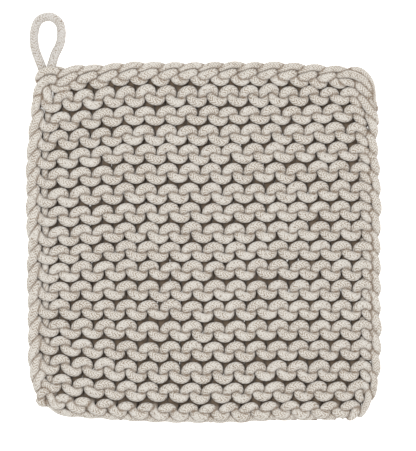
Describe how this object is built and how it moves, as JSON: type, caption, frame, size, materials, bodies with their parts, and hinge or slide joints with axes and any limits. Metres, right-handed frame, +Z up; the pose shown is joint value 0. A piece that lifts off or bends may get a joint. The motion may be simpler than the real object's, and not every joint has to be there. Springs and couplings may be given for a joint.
{
  "type": "knitted pot holder with hanging loop",
  "caption": "Square garter-stitch pot holder of thick soft natural cotton cord, lying flat, with a chain edge all round and a teardrop hanging loop at one corner",
  "frame": {"origin": "middle of the whole part, loop included, on the surface that it rests on", "axes": "+X to the right along the ridges, +Y from the cast-on edge to the bound-off edge and the loop, +Z up out of the face"},
  "size_m": [0.1996, 0.23, 0.0124],
  "materials": {
    "knitted_cord": "soft matt natural cotton cord, finely knitted, cream with taupe specks",
    "loop_cord": "the same cord, unsqueezed, herringbone specks along it"
  },
  "bodies": {
    "root": {"knit_square": "knitted_cord", "hanging_loop": "loop_cord"}
  },
  "joints": []
}
